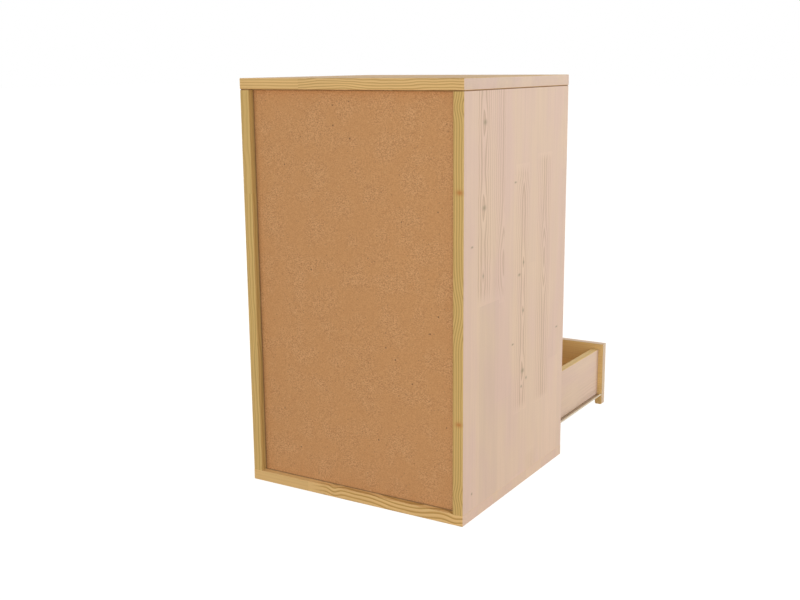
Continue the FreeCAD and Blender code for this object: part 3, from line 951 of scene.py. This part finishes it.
def roller(name):
    """A nylon wheel with a hub, a dished web and a rounded rim, on the X axis from x 0."""
    half_outline = [
        (0, ROLLER_BORE), (0, HUB_RADIUS), (DISH, HUB_RADIUS + DISH / 2), (DISH, RIM_RADIUS - DISH / 2),
        (0, RIM_RADIUS), (0, ROLLER_RADIUS - ROLLER_EDGE), (ROLLER_EDGE, ROLLER_RADIUS),
    ]
    far_half = [(ROLLER_WIDTH - length, radius) for length, radius in reversed(half_outline)]
    return turned(name, half_outline + far_half, X, Y, closed=True)


# Fasteners

DRAWN_HEAD_SIDES = 6
HEAD_RADIUS = 0.0035
HEAD_FLAT = HEAD_RADIUS * math.cos(math.pi / DRAWN_HEAD_SIDES)
HEAD_CROWN = HEAD_RADIUS * 0.55
HEAD_SHOULDER = HEAD_RADIUS * 0.9
HEAD_HEIGHT = 0.0014
HEAD_DOME = 0.0004
SHANK_RADIUS = 0.00165
SHANK_LENGTH = 0.012
POINT_LENGTH = 0.003
CROSS_REACH = 0.0021
CROSS_WIDTH = 0.0009
CROSS_ROUND = CROSS_WIDTH * 0.3
CROSS_DEPTH = 0.0008


def screw(name):
    """A pan-head screw with a cross recess. Its head hangs below the origin and its shank stands up."""
    outline = (
        (-HEAD_HEIGHT, 0), (-HEAD_HEIGHT, HEAD_CROWN), (HEAD_DOME - HEAD_HEIGHT, HEAD_SHOULDER),
        (-HEAD_DOME, HEAD_RADIUS), (0, HEAD_RADIUS), (0, SHANK_RADIUS),
        (SHANK_LENGTH - POINT_LENGTH, SHANK_RADIUS), (SHANK_LENGTH, 0),
    )
    piece = turned(name, outline, Z, X, steps=SMALL_TURN_STEPS)
    for axis in (X, Y):
        half = Vector((CROSS_WIDTH / 2, CROSS_WIDTH / 2, CROSS_DEPTH))
        half[axis] = CROSS_REACH
        middle = Vector((0, 0, -HEAD_HEIGHT))
        arm = block("recess", middle - half, middle + half)
        ease(arm, lambda edge: runs(edge, Z), CROSS_ROUND, INNER_STEPS)
        cut_out(piece, close_piece(arm))
    return piece


def cabinet_screw_places():
    """The screws of the lowest right-hand cabinet rail, at its web's inner face."""
    low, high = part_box("cabinet_rail_screws")
    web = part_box("cabinet_rails_1")[1].x - SHEET
    return [Vector((web, y, low.z + HEAD_RADIUS)) for y in (low.y + HEAD_FLAT, high.y - HEAD_FLAT)]


def drawer_screw_places():
    """The screws of the lowest right-hand drawer rail, under its flange."""
    low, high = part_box("drawer_1_rail_screws")
    across = high.x - HEAD_RADIUS
    return [Vector((across, y, low.z + HEAD_HEIGHT)) for y in (low.y + HEAD_FLAT, high.y - HEAD_FLAT)]


# Put the unit together


def step_to(node, first_node):
    """The move that takes the lowest drawer's piece to another drawer's place."""
    return Matrix.Translation(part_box(node)[0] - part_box(first_node)[0])


def both_sides(name, piece):
    """A right-hand piece and its mirror image, as two solids of one."""
    return joined(name, [piece, mirror_of(piece, name + "_left")])


def build_carcass(woods):
    boards = {
        "top_panel": end_board("top_panel", "top", -1, END_ROUND),
        "bottom_panel": end_board("bottom_panel", "bottom", 1, FOOT_EDGE),
        "left_side_panel": side_board("left_side_panel", "left_side"),
        "right_side_panel": side_board("right_side_panel", "right_side"),
    }
    for node, board in boards.items():
        settle(board, node, woods[node])


def build_drawers(woods, finishes):
    """Model the lowest drawer and its runners, then copy them to the others' places."""
    right_side = drawer_side("drawer_side")
    models = {
        "drawer_{}_front": drawer_front("drawer_front"),
        "drawer_{}_right_side": right_side,
        "drawer_{}_left_side": mirror_of(right_side, "drawer_left_side"),
        "drawer_{}_back": drawer_back("drawer_back"),
        "drawer_{}_rails": both_sides("drawer_rails", drawer_rail("drawer_rail")),
        "cabinet_rails_{}": both_sides("cabinet_rails", cabinet_rail("cabinet_rail")),
    }
    wheel = roller("roller")
    for node in ("front_rollers_{}", "rear_rollers_{}"):
        place = Matrix.Translation(roller_place(node.format(1)))
        models[node] = both_sides("rollers", copy_of(wheel, "right_roller", place))
    small = screw("screw")
    under = [copy_of(small, "rail_screw", Matrix.Translation(place)) for place in drawer_screw_places()]
    models["drawer_{}_rail_screws"] = both_sides("rail_screws", joined("rail_screws", under))
    for node_name, model in models.items():
        first_node = node_name.format(1)
        for number in range(1, DRAWERS + 1):
            node = node_name.format(number)
            piece = copy_of(model, node + "_shape", step_to(node, first_node))
            settle(piece, node, finish_of(node, woods, finishes))
        bpy.data.objects.remove(model)

    into_side = Matrix.Rotation(QUARTER_TURN, 4, "Y")
    screws = []
    for number in range(1, DRAWERS + 1):
        step = step_to(f"cabinet_rails_{number}", "cabinet_rails_1")
        for place in cabinet_screw_places():
            screws.append(copy_of(small, "cabinet_screw", step @ Matrix.Translation(place) @ into_side))
    piece = both_sides("cabinet_screws", joined("cabinet_screws", screws))
    settle(piece, "cabinet_rail_screws", finishes["zinc"])
    for model in (wheel, small):
        bpy.data.objects.remove(model)


# Studio

# Each lamp's place, size and power
LAMPS = {
    "key": ((-2.6, -2.4, 1.2), 2.4, 49.0),
    "rear": ((-1.5, 3.0, 0.75), 2.0, 32.0),
    "top": ((0.9, 3.1, 2.3), 2.0, 6.0),
    "right": ((2.9, -1.3, 0.9), 2.4, 40.0),
}
WORLD_LIGHT = 0.44
FLOOR_SIZE = 60.0
FLOOR_GAP = 0.0004
FLOOR_CREAM = (0.72, 0.57, 0.39, 1.0)
FLOOR_SHADOW = 0.2
FLOOR_GLOW = 1.24


def seen_directly(start):
    """1 where a surface is looked at, also in a mirror, and 0 where it only gives light."""
    path = start.node("LightPath").socket.node.outputs
    seen = Wire(start.tree, path["Is Camera Ray"])
    for name in ("Is Glossy Ray", "Is Transmission Ray"):
        seen = start.math("MAXIMUM", seen, Wire(start.tree, path[name]))
    return seen


def add_floor():
    """A white floor that keeps a faint shadow."""
    bpy.ops.object.select_all(action="DESELECT")
    bpy.ops.mesh.primitive_plane_add(size=FLOOR_SIZE, location=(0, 0, -FLOOR_GAP))
    floor = bpy.context.object
    floor.name = "floor"
    material, start = new_material("floor_white")
    plain = start.node("BsdfDiffuse", inputs={"Color": FLOOR_CREAM})
    white = start.node("Emission", inputs={"Color": WHITE, "Strength": FLOOR_GLOW})
    share = seen_directly(start) * (1 - FLOOR_SHADOW)
    mixed = start.node("MixShader", inputs={0: share, 1: plain, 2: white})
    start.node("OutputMaterial", inputs={"Surface": mixed})
    floor.data.materials.append(material)


def add_world():
    """White where it is looked at, and a plain soft light elsewhere."""
    world = bpy.data.worlds.new("studio")
    world.use_nodes = True
    world.node_tree.nodes.clear()
    start = Wire(world.node_tree)
    level = seen_directly(start).between(WORLD_LIGHT, 1.0)
    white = start.node("Background", inputs={"Color": WHITE, "Strength": level})
    start.node("OutputWorld", inputs={"Surface": white})
    bpy.context.scene.world = world


def add_lamp(name, place, size, power):
    """A square soft box that faces the middle of the unit."""
    data = bpy.data.lights.new(name, "AREA")
    data.size = size
    data.energy = power
    lamp = bpy.data.objects.new(name, data)
    lamp.location = place
    lamp.rotation_euler = (AIM - Vector(place)).to_track_quat("-Z", "Y").to_euler()
    bpy.context.scene.collection.objects.link(lamp)


# The pine of each board

FACE = -9.0
SIDE_LENGTHS = (
    Length(150, 196, 0, 700, 186, 34, 0, 4.2, 1.2, 0.06, 0.5, EVERYWHERE, 0.0, 0),
    Length(86, 150, 347, 730, 130, FACE, 10, 7.5, 2, 0.8, 0.5, 45, 0.02, 30),
    Length(55, 100, 340, 740, 58, FACE, 8, 7.0, 2, 0.65, 0.5, 45, 0.01, 40),
    Length(72, 140, 17, 347, 180, 60, 0, 3.4, 2, 0.06, 0.5, EVERYWHERE, -0.04, 0),
    Length(-38, 15, 134, 560, -17, FACE, 9, 7.0, 2, 0.8, 0.5, 28, 0.02, 20),
    Length(-130, -68, 132, 572, -102, FACE, 8, 7.5, 2, 0.75, 0.5, 36, 0.01, 14),
    Length(-82, -36, -20, 58, -62, FACE, 3, 4.0, 2, 0.4, 0.5, 30, 0.0, 20),
)
SIDE_BULGES = (
    Bulge(658, 196, 14, 60, 4, False), Bulge(350, 196, 36, 60, -9, False), Bulge(50, 196, 14, 60, 4, False),
    Bulge(405, 58, 52, 26, -24, True), Bulge(545, -17, 28, 30, 10, True), Bulge(390, -102, 46, 18, -24, True),
)
SIDE_KNOTS = (
    Knot(633, 126, FACE, 4.0, 5.2, 9, 14), Knot(502, 127, FACE, 4.0, 5.4, 9, 14),
    Knot(446, 167, FACE, 1.5, 3.4, 9, 0), Knot(395, 129, FACE, 3.0, 2.0, 9, 9),
    Knot(45, 164, FACE, 2.0, 2.2, 9, 0), Knot(394, -19, FACE, 2.6, 2.6, 9, 10),
    Knot(375, -3, FACE, 2.2, 4.0, 9, 0), Knot(531, 16, FACE, 1.4, 3.6, 9, 0),
    Knot(311, -20, FACE, 3.0, 2.4, 9, 10), Knot(205, -21, FACE, 3.8, 5.2, 9, 12),
    Knot(178, -17, FACE, 2.4, 2.6, 9, 0), Knot(189, -36, FACE, 2.4, 2.6, 9, 0),
    Knot(260, 19, FACE, 1.5, 3.4, 9, 0), Knot(253, -163, FACE, 1.4, 4.0, 9, 0),
    Knot(532, 196, -2, 4.0, 4.0, 6, 0), Knot(169, 196, -2, 4.0, 4.0, 6, 0),
)
TOP_LENGTHS = (
    Length(150, 196, -220, 90, 172, -60, 0, 3.8, 4, 0.2, 0.55, EVERYWHERE, 0.0, 0),
    Length(150, 196, 90, 220, 120, -120, 0, 4.0, 1, 0.2, 0.45, EVERYWHERE, 0.02, 0),
)
BOTTOM_LENGTHS = (
    Length(150, 196, -270, 92, 178, 30, 0, 6.4, 5, 0.2, 0.7, EVERYWHERE, 0.04, 45),
    Length(150, 196, 92, 220, 60, 90, 0, 3.4, 1, 0.1, 0.1, EVERYWHERE, 0.0, 0),
)
BOTTOM_BULGES = (
    Bulge(38, 196, 11, 60, -5, False), Bulge(-100, 196, 42, 60, -5, False),
    Bulge(-195, 196, 14, 60, -4, False),
)
DRAWER_FACE = -6.0
DRAWER_SIDE_LENGTHS = (
    Length(24, 96, -500, -320, 52, DRAWER_FACE, 5, 7.0, 4, 0.35, 0.3, 30, 0.0, 70),
)
BOARD_STAVE = 64.0
BOARD_GLUE_LINE = -170.0
SIDE_LENGTH = 520.0
END_LENGTH = 470.0
DRAWER_STAVE = 66.2
DRAWER_GLUE_LINE = 20.0
DRAWER_LENGTH = 430.0


def pine_woods():
    """The pine of every board, by node or by the kind of drawer board."""
    side = ("zyx", BOARD_STAVE, BOARD_GLUE_LINE, SIDE_LENGTH)
    level = ("xyz", BOARD_STAVE, BOARD_GLUE_LINE, END_LENGTH)
    crosswise = ("xzy", DRAWER_STAVE, DRAWER_GLUE_LINE, DRAWER_LENGTH)
    lengthwise = ("yzx", DRAWER_STAVE, DRAWER_GLUE_LINE, DRAWER_LENGTH)
    face = {"gold": BOX_GOLD, "shows": (1, 0.8), "figure": 2.0, "edge_figure": 0.4, "level": 0.96,
            "ends": FRONT_ENDS}
    box = {"gold": BOX_GOLD, "edge_figure": 0.4, "level": 0.96, "knot_chance": 0.0}
    joint = 1000 * (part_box("left_side_panel")[1].z - JOINT_GAP)
    return {
        "left_side_panel": pine("pine_left_side", "left_side_panel", *side, 1.0, OLIVE_GOLD, joint=joint,
                                lengths=SIDE_LENGTHS, bulges=SIDE_BULGES, knots=SIDE_KNOTS),
        "right_side_panel": pine("pine_right_side", "right_side_panel", *side, 2.0, OLIVE_GOLD, joint=joint),
        "top_panel": pine("pine_top", "top_panel", *level, 3.0, shows=(0, 0.2), ends=TOP_ENDS,
                          top_shade=TOP_FACE_SHADE, lengths=TOP_LENGTHS),
        "bottom_panel": pine("pine_bottom", "bottom_panel", *level, 4.0, ends=BOTTOM_ENDS,
                             lengths=BOTTOM_LENGTHS, bulges=BOTTOM_BULGES),
        "drawer_1_front": pine("pine_open_front", "drawer_1_front", *crosswise, 5.0, **face),
        "front": pine("pine_front", "drawer_2_front", *crosswise, 6.0, **face),
        "drawer_1_back": pine("pine_open_back", "drawer_1_back", *crosswise, 7.0, **box),
        "back": pine("pine_back", "drawer_2_back", *crosswise, 8.0, **box),
        "left_side": pine("pine_drawer_left", "drawer_1_left_side", *lengthwise, 9.0, **box,
                          lengths=DRAWER_SIDE_LENGTHS),
        "right_side": pine("pine_drawer_right", "drawer_1_right_side", *lengthwise, 10.0, **box),
    }


def plain_finishes():
    """The finishes of the slots that aren't pine."""
    return {
        "hardboard": hardboard(),
        "beech": grained("beech", srgb(214, 178, 134), srgb(190, 150, 106), 0.6),
        "enamelled_steel": grained("cream_enamel", srgb(226, 214, 190), srgb(214, 200, 172), 0.35, coat=0.3,
                                   gutter=True),
        "nylon": grained("nylon", srgb(238, 236, 228), srgb(226, 223, 212), 0.4),
        "zinc": grained("zinc", srgb(206, 206, 200), srgb(170, 170, 164), 0.32, metallic=1.0),
    }


def finish_of(node, woods, finishes):
    """The finish of a node: its own pine, its kind of drawer board's pine, or its slot's finish."""
    if slots[node] != "pine":
        return finishes[slots[node]]
    if node in woods:
        return woods[node]
    return woods[node.split("_", 2)[-1]]


woods = pine_woods()
finishes = plain_finishes()
for node, cad_piece in frame["nodes"].items():
    cad_piece.data.materials.clear()
    cad_piece.data.materials.append(finish_of(node, woods, finishes))
build_carcass(woods)
build_drawers(woods, finishes)
add_floor()
add_world()
for lamp_name, lamp in LAMPS.items():
    add_lamp(lamp_name, *lamp)
add_camera()
bpy.context.scene.view_settings.view_transform = "Standard"
